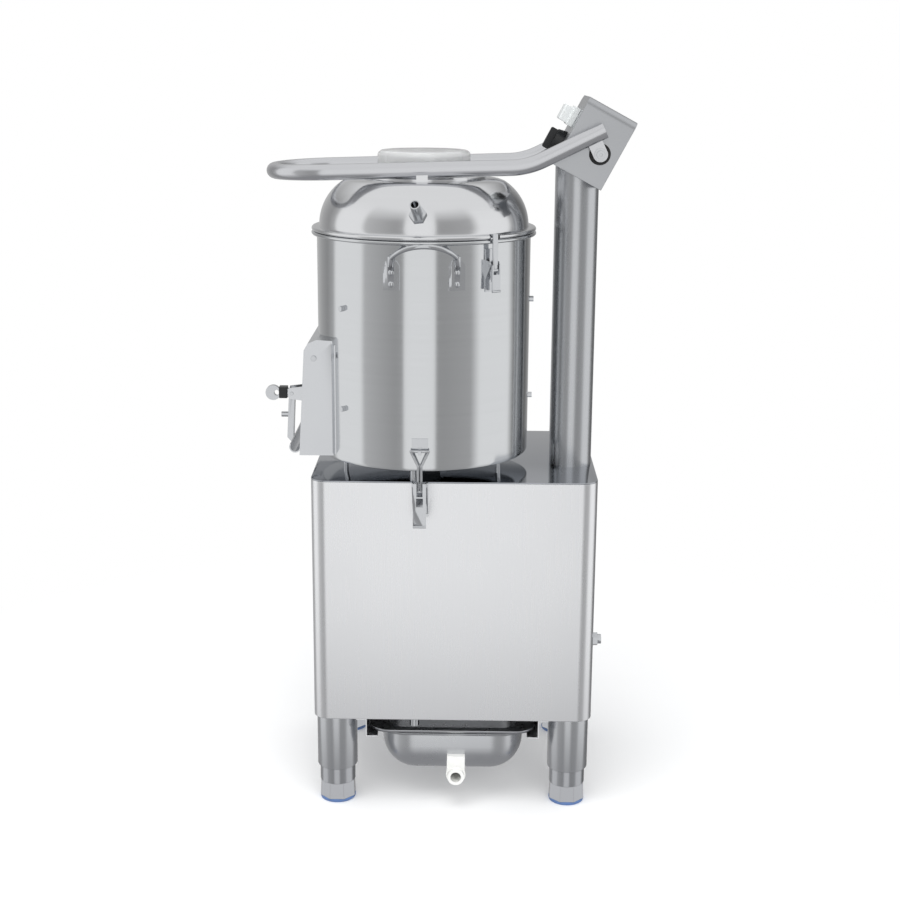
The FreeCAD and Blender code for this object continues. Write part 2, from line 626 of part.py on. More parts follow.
def lid_latch_lever():
    """Pressed channel lever lying down over the claw when closed."""
    px, pz = LID_LATCH_P1
    qx, qz = LID_LATCH_P2
    front = box(189.5, 191, -8, 8, 884, pz + 1)
    front = front.cut(box(180, 200, -5.8, 5.8, 911, 940))
    curl = cross_rod(191, 885, -8, 8, 1.8)
    flange = side_plate([(px - 3, pz - 3), (px - 3, pz + 3), (px + 1, pz + 4), (190, pz + 1), (190, 900),
                         (188, 900), (qx - 3, qz - 3)], -8, -6.8)
    body = fused([front, curl] + both_sides(flange))
    body = body.cut(cross_rod(qx, qz, -20, 20, 1.5))
    pin = cross_rod(px, pz, -10.5, 10.5, 1.5 - FIT)
    return turned(body.fuse(pin).removeSplitter(), LID_LATCH_ANGLE)


def lid_latch_claw():
    """Claw plate that reaches up through the notch in the lid's rim."""
    qx, qz = LID_LATCH_P2
    plate = box(186, 188, -5, 5, qz, 973.5)
    tip = box(178.5, 188, -5, 5, 971, 973.5)
    drop = box(178.5, 180.5, -5, 5, 967, 972)
    eye = cross_rod(qx, qz, -5, 5, 2.6)
    pin = cross_rod(qx, qz, -8.2, 8.2, 1.5 - FIT)
    return turned(fused([plate, tip, drop, eye, pin]), LID_LATCH_ANGLE)


def base_latch_catch():
    """Hook plate riveted to the drum; its lower edge curls up into a trough."""
    plate = shell_segment(DRUM_R, DRUM_R + 1.5, 631, 654, 13.0)
    trough = box(170, 190, -2.6, 2.6, 630.5, 632.5)
    lip = box(188.5, 190, -2.6, 2.6, 630.5, 637)
    body = fused([plate, trough, lip]).cut(post(0, 0, 600, 700, DRUM_R))
    return turned(body, -90)


def base_latch_loop():
    """Bent wire: a triangle over the hook, then a stem down to the lever."""
    qx, qz = BASE_LATCH_P2
    bar_x, bar_z, half = 182.0, 634.8, 14.0
    corners = [V(bar_x, -half, bar_z), V(bar_x, half, bar_z), V(bar_x + 1, 2.4, 610), V(bar_x + 1, -2.4, 610)]
    parts = [rod(corners[0], corners[1], 2.0), rod(corners[1], corners[2], 2.0),
             rod(corners[3], corners[0], 2.0)]
    parts += [Part.makeSphere(2.2, c) for c in corners]
    for side in (-2.4, 2.4):
        parts.append(rod(V(bar_x + 1, side, 610), V(qx, side, qz), 2.0))
    parts.append(cross_rod(qx, qz, -9.2, 9.2, 1.8))
    return turned(fused(parts), -90)


def base_latch_lever():
    """Pressed channel lever with a padlock slot."""
    px, pz = BASE_LATCH_P1
    qx, qz = BASE_LATCH_P2
    front = box(189, 190.5, -10.5, 10.5, 512, 584)
    front = front.cut(box(180, 200, -5.5, 5.5, 546, 560))
    front = front.cut(box(180, 200, -4.8, 4.8, 562.5, 590))
    curl = cross_rod(190.5, 513, -10.5, 10.5, 2.0)
    flange = side_plate([(px - 3, pz - 4), (px - 3, pz + 3), (px + 1, pz + 7), (189.5, pz + 7), (189.5, 540),
                         (187.5, 540), (qx - 3, qz - 4)], -10.5, -9)
    body = fused([front, curl] + both_sides(flange))
    body = body.cut(cross_rod(qx, qz, -20, 20, 1.8 + FIT))
    pin = cross_rod(px, pz, -13, 13, 2.0 - FIT)
    return turned(body.fuse(pin).removeSplitter(), -90)


def base_latch_bracket():
    """Pressed bracket that carries the latch out in front of the cabinet."""
    px, pz = BASE_LATCH_P1
    face = -CAB_Y0
    back = box(face, face + 2, -12.5, 12.5, 515, 570)
    ear = side_plate([(face, 570), (px - 6, pz + 7), (px + 3, pz + 6), (px + 5, pz), (px - 2, pz - 12),
                      (face, 520)], -12.5, -10.8)
    body = fused([back] + both_sides(ear))
    return turned(body.cut(cross_rod(px, pz, -20, 20, 2.0)), -90)


def column_tube():
    tube = ring(COLUMN_X, 0, CAB_Z1, 1150, COLUMN_R, COLUMN_R - SHEET)
    return tube.cut(on_head(box(-200, 300, -100, 100, 0, 300)))


def head_housing():
    """Sheet-metal head: bent round the top edges, open towards the operator."""
    outer = box(0, HEAD_D, -HEAD_W, HEAD_W, 0, HEAD_H)
    top_edges = [e for e in outer.Edges if min(v.Z for v in e.Vertexes) > HEAD_H - 1
                 and abs(e.Vertexes[0].Y - e.Vertexes[1].Y) < 1]
    outer = outer.makeFillet(HEAD_BEND, top_edges)
    inner = box(-5, HEAD_D - SHEET, -HEAD_W + SHEET, HEAD_W - SHEET, SHEET, HEAD_H - SHEET)
    inner_edges = [e for e in inner.Edges if min(v.Z for v in e.Vertexes) > HEAD_H - SHEET - 1
                   and abs(e.Vertexes[0].Y - e.Vertexes[1].Y) < 1]
    inner = inner.makeFillet(HEAD_BEND - SHEET, inner_edges)
    shell = on_head(outer.cut(inner))
    shell = shell.cut(cross_rod(PIVOT[0], PIVOT[1], -100, 100, BUSH_R))
    return shell.cut(post(COLUMN_X, 0, 1000, 1075, 12.0))


def control_panel():
    plate = box(0, SHEET, -HEAD_W + SHEET, HEAD_W - SHEET, SHEET, HEAD_H - SHEET)
    edges = [e for e in plate.Edges if min(v.Z for v in e.Vertexes) > HEAD_H - SHEET - 1
             and abs(e.Vertexes[0].Y - e.Vertexes[1].Y) < 1]
    plate = plate.makeFillet(HEAD_BEND - SHEET, edges)
    for y in (-15, 15):
        plate = plate.cut(rod(V(-5, y, 79), V(10, y, 79), 11.0))
    plate = plate.cut(rod(V(-5, 0, 32), V(10, 0, 32), 5.0))
    return on_head(plate)


def push_button(y):
    """Round push button with a flange behind the panel."""
    cap = rod(V(-14, y, 79), V(6, y, 79), 10.5)
    flange = rod(V(5.3, y, 79), V(8, y, 79), 13.0)
    return on_head(cap.fuse(flange).removeSplitter())


def button_boot():
    """Clear splash cover over both buttons: a wide foot and a raised block."""
    foot_block = box(-10, 0, -34, 34, 63, 94.5)
    cap = box(-25, -9, -30, 30, 65, 91)
    cap_edges = [e for e in cap.Edges if max(v.X for v in e.Vertexes) < -24]
    outer = foot_block.fuse(cap.makeFillet(3.0, cap_edges))
    hollow = box(-22.5, 1, -27.5, 27.5, 67.2, 90.8)
    return on_head(outer.cut(hollow).removeSplitter())


def timer_knob():
    """Black timer knob with a finger bar across its face."""
    skirt = Part.makeCone(22.0, 19.0, 14.0, V(-GAP, 0, 32), V(-1, 0, 0))
    grip = box(-26, -10, -5, 5, 14.5, 49.5)
    grip_edges = [e for e in grip.Edges if max(v.X for v in e.Vertexes) < -25]
    stem = rod(V(-5, 0, 32), V(20, 0, 32), 5.0 - FIT)
    return on_head(fused([skirt, grip.makeFillet(3.0, grip_edges), stem]))


def safety_switch():
    """Limit switch that stops the machine when the lid lever rises."""
    body = box(34, 60, -20, 20, 70, 88)
    roller = cross_rod(56.6, 66, -4, 4, 4.5)
    bracket = box(30, 34, -20, 20, 70, HEAD_H - SHEET)
    return on_head(fused([body, roller, bracket]))


def pivot_bushes():
    bush = ring(0, 0, 0, 8, BUSH_R, PIVOT_R + FIT)
    bush.rotate(V(0, 0, 0), V(1, 0, 0), 90)
    bush.translate(V(PIVOT[0], -HEAD_W + 6, PIVOT[1]))
    return Part.makeCompound(both_sides(bush))


def lever_path():
    """Centre line of the lever: arm, bend, flat run, half circle, flat run, bend, arm."""
    bend_x, bend_z = LEVER_BEND
    flat_dir = V(-1, 0, -LEVER_SLOPE).normalize()
    rise_dir = V(LEVER_END[0] - bend_x, 0, LEVER_END[1] - bend_z).normalize()
    half_turn = math.acos(-flat_dir.dot(rise_dir)) / 2
    tangent = LEVER_BEND_R * math.tan(half_turn)
    edges = []
    for y in (-LEVER_Y, LEVER_Y):
        corner = V(bend_x, y, bend_z)
        end = V(LEVER_END[0], y, LEVER_END[1])
        leave = corner + rise_dir * tangent
        arrive = corner + flat_dir * tangent
        middle = corner + (rise_dir + flat_dir).normalize() * (LEVER_BEND_R / math.cos(half_turn) - LEVER_BEND_R)
        tip = V(LEVER_TIP_X, y, LEVER_Z0 + LEVER_SLOPE * LEVER_TIP_X)
        edges.append((end, leave, middle, arrive, tip))
    near, far = edges
    nose_x = LEVER_TIP_X - LEVER_Y
    nose = V(nose_x, 0, LEVER_Z0 + LEVER_SLOPE * nose_x)
    return [Part.LineSegment(near[0], near[1]).toShape(), Part.Arc(near[1], near[2], near[3]).toShape(),
            Part.LineSegment(near[3], near[4]).toShape(), Part.Arc(near[4], nose, far[4]).toShape(),
            Part.LineSegment(far[4], far[3]).toShape(), Part.Arc(far[3], far[2], far[1]).toShape(),
            Part.LineSegment(far[1], far[0]).toShape()]


def lever_tube():
    path = lever_path()
    outer = swept(path, LEVER_R)
    inner = swept(path, LEVER_R - LEVER_WALL)
    slope = math.atan2(LEVER_END[1] - LEVER_BEND[1], LEVER_END[0] - LEVER_BEND[0])
    nx, nz = -math.sin(slope), math.cos(slope)
    w, x, z = 11.5, PIVOT[0], PIVOT[1]
    top_x, top_z = x + nx * 32, z + nz * 32
    lug = side_plate([(x + nz * w, z - nx * w), (top_x + nz * w, top_z - nx * w),
                      (top_x - nz * w, top_z + nx * w), (x - nz * w, z + nx * w)], -90, -84)
    lug = lug.fuse(cross_rod(x, z, -90, -84, w)).cut(inner)
    lug = lug.cut(cross_rod(x, z, -100, -80, PIVOT_R))
    return fused([outer.cut(inner)] + both_sides(lug))


def pivot_shaft():
    """Shaft through the head, with a washer and a screw head at each end."""
    x, z = PIVOT
    shaft = cross_rod(x, z, -90, 90, PIVOT_R)
    washer = cross_rod(x, z, -92, -90, 10.0)
    head = cross_rod(x, z, -96, -92, 6.5).cut(cross_rod(x, z, -97, -94, 2.5))
    cam = cross_rod(x + 4, z, -10, 10, 11.0)
    return fused([shaft, cam] + both_sides(washer) + both_sides(head))


def lid_dome():
    """Spun dome with its rolled rim in one piece, notched where the latch claw stands."""
    t = DOME_T
    z1 = LID_Z0 + LID_RIM_H
    lid = revolved([(DOME_R - t, LID_Z0), (LID_RIM_R - 3, LID_Z0),
                    ((LID_RIM_R, LID_Z0 + 3.5), (LID_RIM_R - 4, z1)), (DOME_R, z1), (DOME_R - 1, 982),
                    ((160.5, 1013.5), (131.5, 1044)), (COLLAR_R, COLLAR_Z0), (76, COLLAR_Z0),
                    (76, COLLAR_Z0 - t), (COLLAR_R, COLLAR_Z0 - t), (130.8, 1044 - t),
                    ((159.2, 1012.6), (DOME_R - 1 - t, 982))])
    notch = box(178, 200, -6.5, 12.0, LID_Z0 - 1, z1 + 1)
    lid = lid.cut(turned(notch, LID_LATCH_ANGLE))
    axis = V(NOZZLE_DIR).normalize()
    return lid.cut(rod(NOZZLE_FOOT - axis * 20, NOZZLE_FOOT + axis * 30, 8.0))


def lid_collar():
    """Clamp ring that holds the clear cover, with the hangers under the lever's arms."""
    collar = revolved([(COVER_R + GAP, COLLAR_Z0), (COLLAR_R, COLLAR_Z0), (COLLAR_R, COLLAR_Z1 - 2),
                       (COLLAR_R - 2, COLLAR_Z1), (COVER_R + GAP, COLLAR_Z1)])
    hanger = box(-9, 9, -105, -96, COLLAR_Z0 - 1.5, 1062)
    body = collar.fuse(Part.makeCompound(both_sides(hanger)))
    body = body.cut(swept(lever_path(), LEVER_R))
    dome = revolved([(0, 900), (DOME_R, LID_Z0), (DOME_R - 1, 982), ((160.5, 1013.5), (131.5, 1044)),
                     (COLLAR_R, COLLAR_Z0), (0, COLLAR_Z0)])
    return body.cut(dome).removeSplitter()


def inspection_cover():
    """Clear moulded cover over the opening in the lid."""
    t = COVER_T
    return revolved([(COVER_R - t, COLLAR_Z0), (COVER_R, COLLAR_Z0), (COVER_R, COVER_Z1 - 9),
                     ((COVER_R - 2.6, COVER_Z1 - 2.6), (COVER_R - 9, COVER_Z1)), (0, COVER_Z1),
                     (0, COVER_Z1 - t), (COVER_R - 9, COVER_Z1 - t),
                     ((COVER_R - 4.8, COVER_Z1 - 4.8), (COVER_R - t, COVER_Z1 - 9))])


def water_nozzle():
    """Hose tail with its hexagon, and the spray elbow inside the lid."""
    axis = V(NOZZLE_DIR).normalize()
    tail = rod(NOZZLE_FOOT - axis * 14, NOZZLE_FOOT + axis * 38, 8.0 - FIT)
    hexa = hexagon(NOZZLE_FOOT + axis * 2.5, axis, 24.0, 8.0)
    lock_nut = hexagon(NOZZLE_FOOT - axis * 12, axis, 24.0, 6.0)
    bore = rod(NOZZLE_FOOT - axis * 20, NOZZLE_FOOT + axis * 45, 6.0)
    return fused([tail, hexa, lock_nut]).cut(bore).cut(lid_dome())


def all_nodes():
    nodes = {
        "cabinet_shell": cabinet_shell(), "top_plate": top_plate(), "base_plate": base_plate(),
        "service_panel": service_panel(), "leg_tubes": leg_tubes(), "pan_rails": pan_rails(),
        "drain_pan": drain_pan(), "strainer_pan": strainer_pan(), "drain_spout": drain_spout(),
        "drain_pipe": drain_pipe(), "cable_gland": cable_gland(), "motor_body": motor_body(),
        "motor_shaft": motor_shaft(), "motor_pulley": motor_pulley(), "motor_plate": motor_plate(),
        "drive_belts": drive_belts(), "drive_pulley": drive_pulley(), "spindle": spindle(),
        "bearing_housing": fused([bearing_housing(), housing_flange()]), "bearings": bearings(),
        "water_seal": water_seal(), "abrasive_disc": abrasive_disc(), "drum_shell": drum_shell(),
        "drum_standoffs": drum_standoffs(), "abrasive_liner": abrasive_liner(),
        "liner_screws": liner_screws(), "drum_handles": drum_handles(),
        "handle_rivets": handle_rivets(), "chute_body": chute_body(), "chute_door": chute_door(),
        "door_seal": door_seal(), "door_hinge_pins": door_hinge_pins(), "door_clamp": door_clamp(),
        "clamp_grip": clamp_grip(), "lid_latch_base": lid_latch_base(),
        "lid_latch_lever": lid_latch_lever(), "lid_latch_claw": lid_latch_claw(),
        "base_latch_bracket": base_latch_bracket(), "base_latch_lever": base_latch_lever(),
        "base_latch_loop": base_latch_loop(), "base_latch_catch": base_latch_catch(),
        "column_tube": column_tube(), "head_housing": head_housing(),
        "control_panel": control_panel(), "start_button": push_button(-15),
        "stop_button": push_button(15), "button_boot": button_boot(), "timer_knob": timer_knob(),
        "safety_switch": safety_switch(), "pivot_bushes": pivot_bushes(),
        "lever_tube": lever_tube(), "pivot_shaft": pivot_shaft(), "lid_dome": lid_dome(),
        "lid_collar": lid_collar(), "inspection_cover": inspection_cover(),
        "water_nozzle": water_nozzle(),
    }
    for place, (x, y) in leg_places().items():
        nodes["foot_" + place] = foot_with_pad(x, y)
    return nodes


os.makedirs("parts", exist_ok=True)
for name, shape in all_nodes().items():
    if not shape.isValid():
        print("not valid:", name)
    shape.translate(TO_MIDDLE)
    shape.exportStep("parts/" + name + ".step")
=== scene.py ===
import json
import math

import bmesh
import bpy
from mathutils import Matrix, Vector


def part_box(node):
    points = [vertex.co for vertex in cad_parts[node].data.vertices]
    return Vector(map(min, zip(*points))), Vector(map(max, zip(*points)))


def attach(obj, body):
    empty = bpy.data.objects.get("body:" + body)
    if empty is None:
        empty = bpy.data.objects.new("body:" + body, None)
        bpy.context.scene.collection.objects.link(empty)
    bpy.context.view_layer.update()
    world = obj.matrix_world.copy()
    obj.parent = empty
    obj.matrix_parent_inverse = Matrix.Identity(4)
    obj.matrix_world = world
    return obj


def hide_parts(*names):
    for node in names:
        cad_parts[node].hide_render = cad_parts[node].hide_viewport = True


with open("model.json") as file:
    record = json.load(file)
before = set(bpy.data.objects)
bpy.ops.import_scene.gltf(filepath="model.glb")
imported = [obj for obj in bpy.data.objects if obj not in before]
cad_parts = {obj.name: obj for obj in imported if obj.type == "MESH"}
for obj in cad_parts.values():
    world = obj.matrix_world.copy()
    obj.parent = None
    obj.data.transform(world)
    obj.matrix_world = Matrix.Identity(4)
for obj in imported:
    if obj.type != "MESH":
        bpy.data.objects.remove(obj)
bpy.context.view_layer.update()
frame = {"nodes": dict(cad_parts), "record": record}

# The studio: a pale floor, white surroundings with soft vertical panels that show in the steel,
# a large soft lamp above and another in front, and the camera where the photographer stood.
# SPINDLE is where the drum's axis stands: round pieces are drawn about it and moved there.
MM = 0.001
SPINDLE = Vector((-0.0355, -0.0154, 0.0))


def linear(code, alpha=1.0):
    """Linear colour from an sRGB hex value."""
    parts = [int(code[i:i + 2], 16) / 255 for i in (1, 3, 5)]
    return [c / 12.92 if c <= 0.04045 else ((c + 0.055) / 1.055) ** 2.4 for c in parts] + [alpha]


def add(tree, kind, settings=(), **links):
    """Adds a node, gives it its settings, and links sockets to its inputs by name."""
    made = tree.nodes.new(kind)
    for key, value in dict(settings).items():
        if isinstance(key, int) or key in made.inputs:
            made.inputs[key].default_value = value
        else:
            setattr(made, key, value)
    for key, socket in links.items():
        place = int(key[1:]) if key[0] == "_" else key.replace("_", " ")
        tree.links.new(socket, made.inputs[place])
    return made


def ramp(made, stops):
    """Sets a colour ramp's stops from pairs of position and grey level."""
    elements = made.color_ramp.elements
    while len(elements) > 1:
        elements.remove(elements[-1])
    for i, (position, level) in enumerate(stops):
        stop = elements[0] if i == 0 else elements.new(position)
        stop.position = position
        stop.color = (level, level, level, 1)
    return made.outputs["Color"]


# Grey levels round the compass, as a fraction of a turn: they make the bands in the steel.
PANELS = [(0.0, 1.0), (0.055, 1.0), (0.07, 0.60), (0.17, 0.42), (0.192, 0.44), (0.198, 1.0),
          (0.288, 1.0), (0.294, 0.40), (0.40, 0.48), (0.43, 1.0), (0.545, 1.0), (0.575, 0.22),
          (0.66, 0.16), (0.72, 0.42), (0.80, 0.55), (0.90, 0.35), (0.935, 0.5), (0.95, 1.0)]
world = bpy.data.worlds.new("studio")
bpy.context.scene.world = world
world.use_nodes = True
sky = world.node_tree
sky.nodes.clear()
view_dir = add(sky, "ShaderNodeTexCoord").outputs["Generated"]
round_about = add(sky, "ShaderNodeTexGradient", {"gradient_type": "RADIAL"}, Vector=view_dir)
panels = ramp(add(sky, "ShaderNodeValToRGB", Fac=round_about.outputs["Fac"]), PANELS)
height = add(sky, "ShaderNodeSeparateXYZ", Vector=view_dir).outputs["Z"]
above = add(sky, "ShaderNodeMapRange", {"From Min": 0.35, "From Max": 0.75}, Value=height)
reflected = add(sky, "ShaderNodeMix", {"data_type": "RGBA", 7: (0.93, 0.93, 0.93, 1)},
                _0=above.outputs["Result"], _6=panels)
below = add(sky, "ShaderNodeMapRange", {"From Min": -0.34, "From Max": -0.85}, Value=height)
grounded = add(sky, "ShaderNodeMix", {"data_type": "RGBA", 7: (0.36, 0.36, 0.37, 1)},
               _0=below.outputs["Result"], _6=reflected.outputs[2])
path = add(sky, "ShaderNodeLightPath")
mirror_or_not = add(sky, "ShaderNodeMix", {"data_type": "RGBA", 6: (0.78, 0.79, 0.80, 1)},
                    _0=path.outputs["Is Glossy Ray"], _7=grounded.outputs[2])
clear_way = add(sky, "ShaderNodeMath", {"operation": "MAXIMUM"}, _0=path.outputs["Is Camera Ray"],
                _1=path.outputs["Is Transmission Ray"])
seen = add(sky, "ShaderNodeMix", {"data_type": "RGBA", 7: (1, 1, 1, 1)},
           _0=clear_way.outputs[0], _6=mirror_or_not.outputs[2])
light = add(sky, "ShaderNodeBackground", Color=seen.outputs[2])
add(sky, "ShaderNodeOutputWorld", Surface=light.outputs[0])


def floor_finish():
    """Matt studio paper, lit up to white where no shadow falls."""
    made = bpy.data.materials.new("studio_paper")
    made.use_nodes = True
    tree = made.node_tree
    tree.nodes.clear()
    grain = add(tree, "ShaderNodeTexNoise", {"Scale": 3.0, "Detail": 2.0},
                Vector=add(tree, "ShaderNodeTexCoord").outputs["Object"])
    tone = add(tree, "ShaderNodeMix", {"data_type": "RGBA", 6: (0.80, 0.80, 0.80, 1),
                                       7: (0.82, 0.82, 0.82, 1)}, _0=grain.outputs["Fac"])
    paper = add(tree, "ShaderNodeBsdfDiffuse", Color=tone.outputs[2])
    lift = add(tree, "ShaderNodeEmission", {"Color": (1, 1, 1, 1), "Strength": 0.16})
    both = add(tree, "ShaderNodeAddShader", _0=paper.outputs[0], _1=lift.outputs[0])
    far = add(tree, "ShaderNodeVectorMath", {"operation": "LENGTH"},
              _0=add(tree, "ShaderNodeTexCoord").outputs["Object"])
    fade = add(tree, "ShaderNodeMapRange", {"From Min": 0.45, "From Max": 1.3},
               Value=far.outputs["Value"])
    white = add(tree, "ShaderNodeEmission", {"Color": (1, 1, 1, 1), "Strength": 1.0})
    paling = add(tree, "ShaderNodeMixShader", _0=fade.outputs["Result"], _1=both.outputs[0],
                 _2=white.outputs[0])
    add(tree, "ShaderNodeOutputMaterial", Surface=paling.outputs[0])
    return made


bm = bmesh.new()
bmesh.ops.create_grid(bm, x_segments=2, y_segments=2, size=14.0)
floor_mesh = bpy.data.meshes.new("floor")
bm.to_mesh(floor_mesh)
bm.free()
floor = bpy.data.objects.new("floor", floor_mesh)
floor_mesh.materials.append(floor_finish())
bpy.context.scene.collection.objects.link(floor)
floor.visible_glossy = False

AIM = (0, 0, 0.6)
for name, place, size, power in (("soft_top", (-0.5, -1.2, 3.6), 2.6, 70),
                                 ("soft_front", (1.2, -3.4, 2.2), 2.2, 34)):
    data = bpy.data.lights.new(name, "AREA")
    data.size = size
    data.energy = power
    lamp = bpy.data.objects.new(name, data)
    lamp.location = place
    lamp.rotation_euler = (Vector(AIM) - Vector(place)).to_track_quat("-Z", "Y").to_euler()
    lamp.visible_glossy = False
    bpy.context.scene.collection.objects.link(lamp)

YAW, PITCH, ROLL = -0.0145, 0.2462, 0.0068
LENS_MM, SENSOR_MM = 61.26, 36.0
STOOD_AT = Vector((0.0816714, -2.5220768, 1.2260218))
ahead = Vector((math.sin(YAW) * math.cos(PITCH), math.cos(YAW) * math.cos(PITCH), -math.sin(PITCH)))
right = Vector((math.cos(YAW), -math.sin(YAW), 0))
upward = right.cross(ahead)
side = right * math.cos(ROLL) + upward * math.sin(ROLL)
top = upward * math.cos(ROLL) - right * math.sin(ROLL)
lens = bpy.data.cameras.new("camera")
lens.sensor_width = SENSOR_MM
lens.lens = LENS_MM
camera = bpy.data.objects.new("camera", lens)
camera.matrix_world = Matrix.Translation(SPINDLE + STOOD_AT) @ \
    Matrix((side, top, -ahead)).transposed().to_4x4()
bpy.context.scene.collection.objects.link(camera)
bpy.context.scene.camera = camera
bpy.context.scene.view_settings.view_transform = "Standard"

# The cabinet is folded from 2 mm stainless sheet with large rounded corners and a satin face.
# A polished top plate closes it, and a slotted plate closes it underneath.


def steel(name, shade, rough, grain=(1, 1, 1), grain_mm=0.6, relief=0.02, smudge=0.05):
    """Stainless sheet or tube: grain lines along one direction, and faint uneven polish."""
    made = bpy.data.materials.new(name)
    made.use_nodes = True
    tree = made.node_tree
    tree.nodes.clear()
    where = add(tree, "ShaderNodeTexCoord").outputs["Object"]
    stretched = add(tree, "ShaderNodeMapping", {"Scale": grain}, Vector=where)
    lines = add(tree, "ShaderNodeTexNoise", {"Scale": 1000 / grain_mm / 8, "Detail": 3.0},
                Vector=stretched.outputs[0])
    cloud = add(tree, "ShaderNodeTexNoise", {"Scale": 9.0, "Detail": 4.0, "Roughness": 0.6},
                Vector=where)
    spread = add(tree, "ShaderNodeMix", {"data_type": "FLOAT", 2: rough - smudge, 3: rough + smudge},
                 _0=cloud.outputs["Fac"])
    streak = add(tree, "ShaderNodeMath", {"operation": "MULTIPLY_ADD", 1: 0.06, 2: -0.03},
                 _0=lines.outputs["Fac"])
    total = add(tree, "ShaderNodeMath", {"operation": "ADD"}, _0=spread.outputs[0], _1=streak.outputs[0])
    base = linear(shade)
    dark = [c * 0.95 for c in base[:3]] + [1.0]
    tint = add(tree, "ShaderNodeMix", {"data_type": "RGBA", 6: dark, 7: base}, _0=lines.outputs["Fac"])
    bump = add(tree, "ShaderNodeBump", {"Strength": relief, "Distance": 0.0002},
               Height=lines.outputs["Fac"])
    shader = add(tree, "ShaderNodeBsdfPrincipled", {"Metallic": 1.0}, Base_Color=tint.outputs[2],
                 Roughness=total.outputs[0], Normal=bump.outputs[0])
    add(tree, "ShaderNodeOutputMaterial", Surface=shader.outputs[0])
    return made


def piece(bm, name, body, finish, replaces=(), sharp=35, bevel=0.0, drawn_at=(0, 0, 0)):
    """Makes a mesh, moved by drawn_at, an object: smooth but for sharp edges, on its body."""
    bmesh.ops.translate(bm, verts=bm.verts, vec=drawn_at)
    bmesh.ops.remove_doubles(bm, verts=bm.verts, dist=1e-6)
    bmesh.ops.recalc_face_normals(bm, faces=bm.faces)
    data = bpy.data.meshes.new(name)
    bm.to_mesh(data)
    bm.free()
    data.shade_smooth()
    data.set_sharp_from_angle(angle=math.radians(sharp))
    made = bpy.data.objects.new(name, data)
    bpy.context.scene.collection.objects.link(made)
    data.materials.append(finish)
    if bevel:
        edge = made.modifiers.new("soft_edges", "BEVEL")
        edge.width = bevel
        edge.segments = 2
        edge.limit_method = "ANGLE"
        edge.angle_limit = math.radians(38)
        edge.harden_normals = True
        edge.use_clamp_overlap = True
    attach(made, body)
    if replaces:
        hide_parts(*replaces)
    return made


def slab(bm, low, high, corner=0.0, edge=0.0, steps=12):
    """A block with rounded upright corners and a small radius on its other edges."""
    grown = bmesh.ops.create_cube(bm, size=1.0)["verts"]
    middle = (Vector(low) + Vector(high)) / 2
    bmesh.ops.scale(bm, vec=Vector(high) - Vector(low), verts=grown)
    bmesh.ops.translate(bm, vec=middle, verts=grown)
    edges = list({e for v in grown for e in v.link_edges})
    if corner:
        upright = [e for e in edges if abs(e.verts[0].co.z - e.verts[1].co.z) > 1e-5
                   and (e.verts[0].co - e.verts[1].co).xy.length < 1e-6]
        bmesh.ops.bevel(bm, geom=upright, offset=corner, segments=steps, profile=0.5,
                        affect="EDGES", offset_type="OFFSET", material=-1)
    if edge:
        rim = [e for e in bm.edges if e.calc_face_angle(0) > 1.2 and
               abs(e.verts[0].co.z - e.verts[1].co.z) < 1e-6]
        bmesh.ops.bevel(bm, geom=rim, offset=edge, segments=4, profile=0.5,
                        affect="EDGES", offset_type="OFFSET", material=-1)


CABINET_CORNER = 26 * MM
cabinet_satin = steel("stainless_satin_sheet", "#EBECEE", 0.28, (1, 1, 0.04), 0.5, 0.008, 0.02)
top_mirror = steel("stainless_mirror_sheet", "#B9BCC1", 0.07, (0.05, 1, 1), 0.5, 0.01, 0.03)
low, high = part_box("cabinet_shell")
bm = bmesh.new()
slab(bm, low, high, CABINET_CORNER, 1.2 * MM)
piece(bm, "cabinet_skin", "stand", cabinet_satin, ["cabinet_shell"])
low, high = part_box("top_plate")
bm = bmesh.new()
slab(bm, low, high, CABINET_CORNER, 0.9 * MM)
piece(bm, "cabinet_top", "stand", top_mirror, ["top_plate"])


def from_cad(node, finish, sharp=35, bevel=0.0):
    """A merged copy of a CAD node with clean flats, smooth curves and soft edges."""
    bm = bmesh.new()
    bm.from_mesh(frame["nodes"][node].data)
    bmesh.ops.remove_doubles(bm, verts=bm.verts, dist=2e-6)
    bmesh.ops.dissolve_limit(bm, angle_limit=math.radians(0.5), verts=bm.verts, edges=bm.edges,
                             delimit={"NORMAL"})
    body = next(b for b, nodes in bodies.items() if node in nodes)
    return piece(bm, node + "_dressed", body, finish, [node], sharp, bevel)


bodies = frame["record"]["behaviour"]["bodies"]
for node in ("base_plate", "service_panel", "pan_rails"):
    from_cad(node, cabinet_satin, 35, 0.3 * MM)

# Four stainless leg tubes under the corners, each with a round adjustable foot that ends in
# an eight-sided skirt for the spanner, and a moulded blue pad that meets the floor.


def turned_piece(bm, profile, axis_foot=(0, 0, 0), steps=96):
    """Spins a profile of (radius, height) in millimetres about an upright axis."""
    before = set(bm.verts)
    rim = [bm.verts.new(Vector(axis_foot) + Vector((r, 0, z)) * MM) for r, z in profile]
    edges = [bm.edges.new(pair) for pair in zip(rim, rim[1:])]
    bmesh.ops.spin(bm, geom=rim + edges, cent=axis_foot, axis=(0, 0, 1), angle=math.tau,
                   steps=steps, use_merge=True)
    grown = [v for v in bm.verts if v not in before]
    bmesh.ops.remove_doubles(bm, verts=grown, dist=1e-6)


leg_satin = steel("stainless_satin_tube", "#C8CACD", 0.24, (1, 1, 0.03), 0.6, 0.012, 0.03)
foot_satin = steel("stainless_turned_foot", "#B9BBBF", 0.22, (0.3, 0.3, 1), 0.8, 0.04, 0.04)


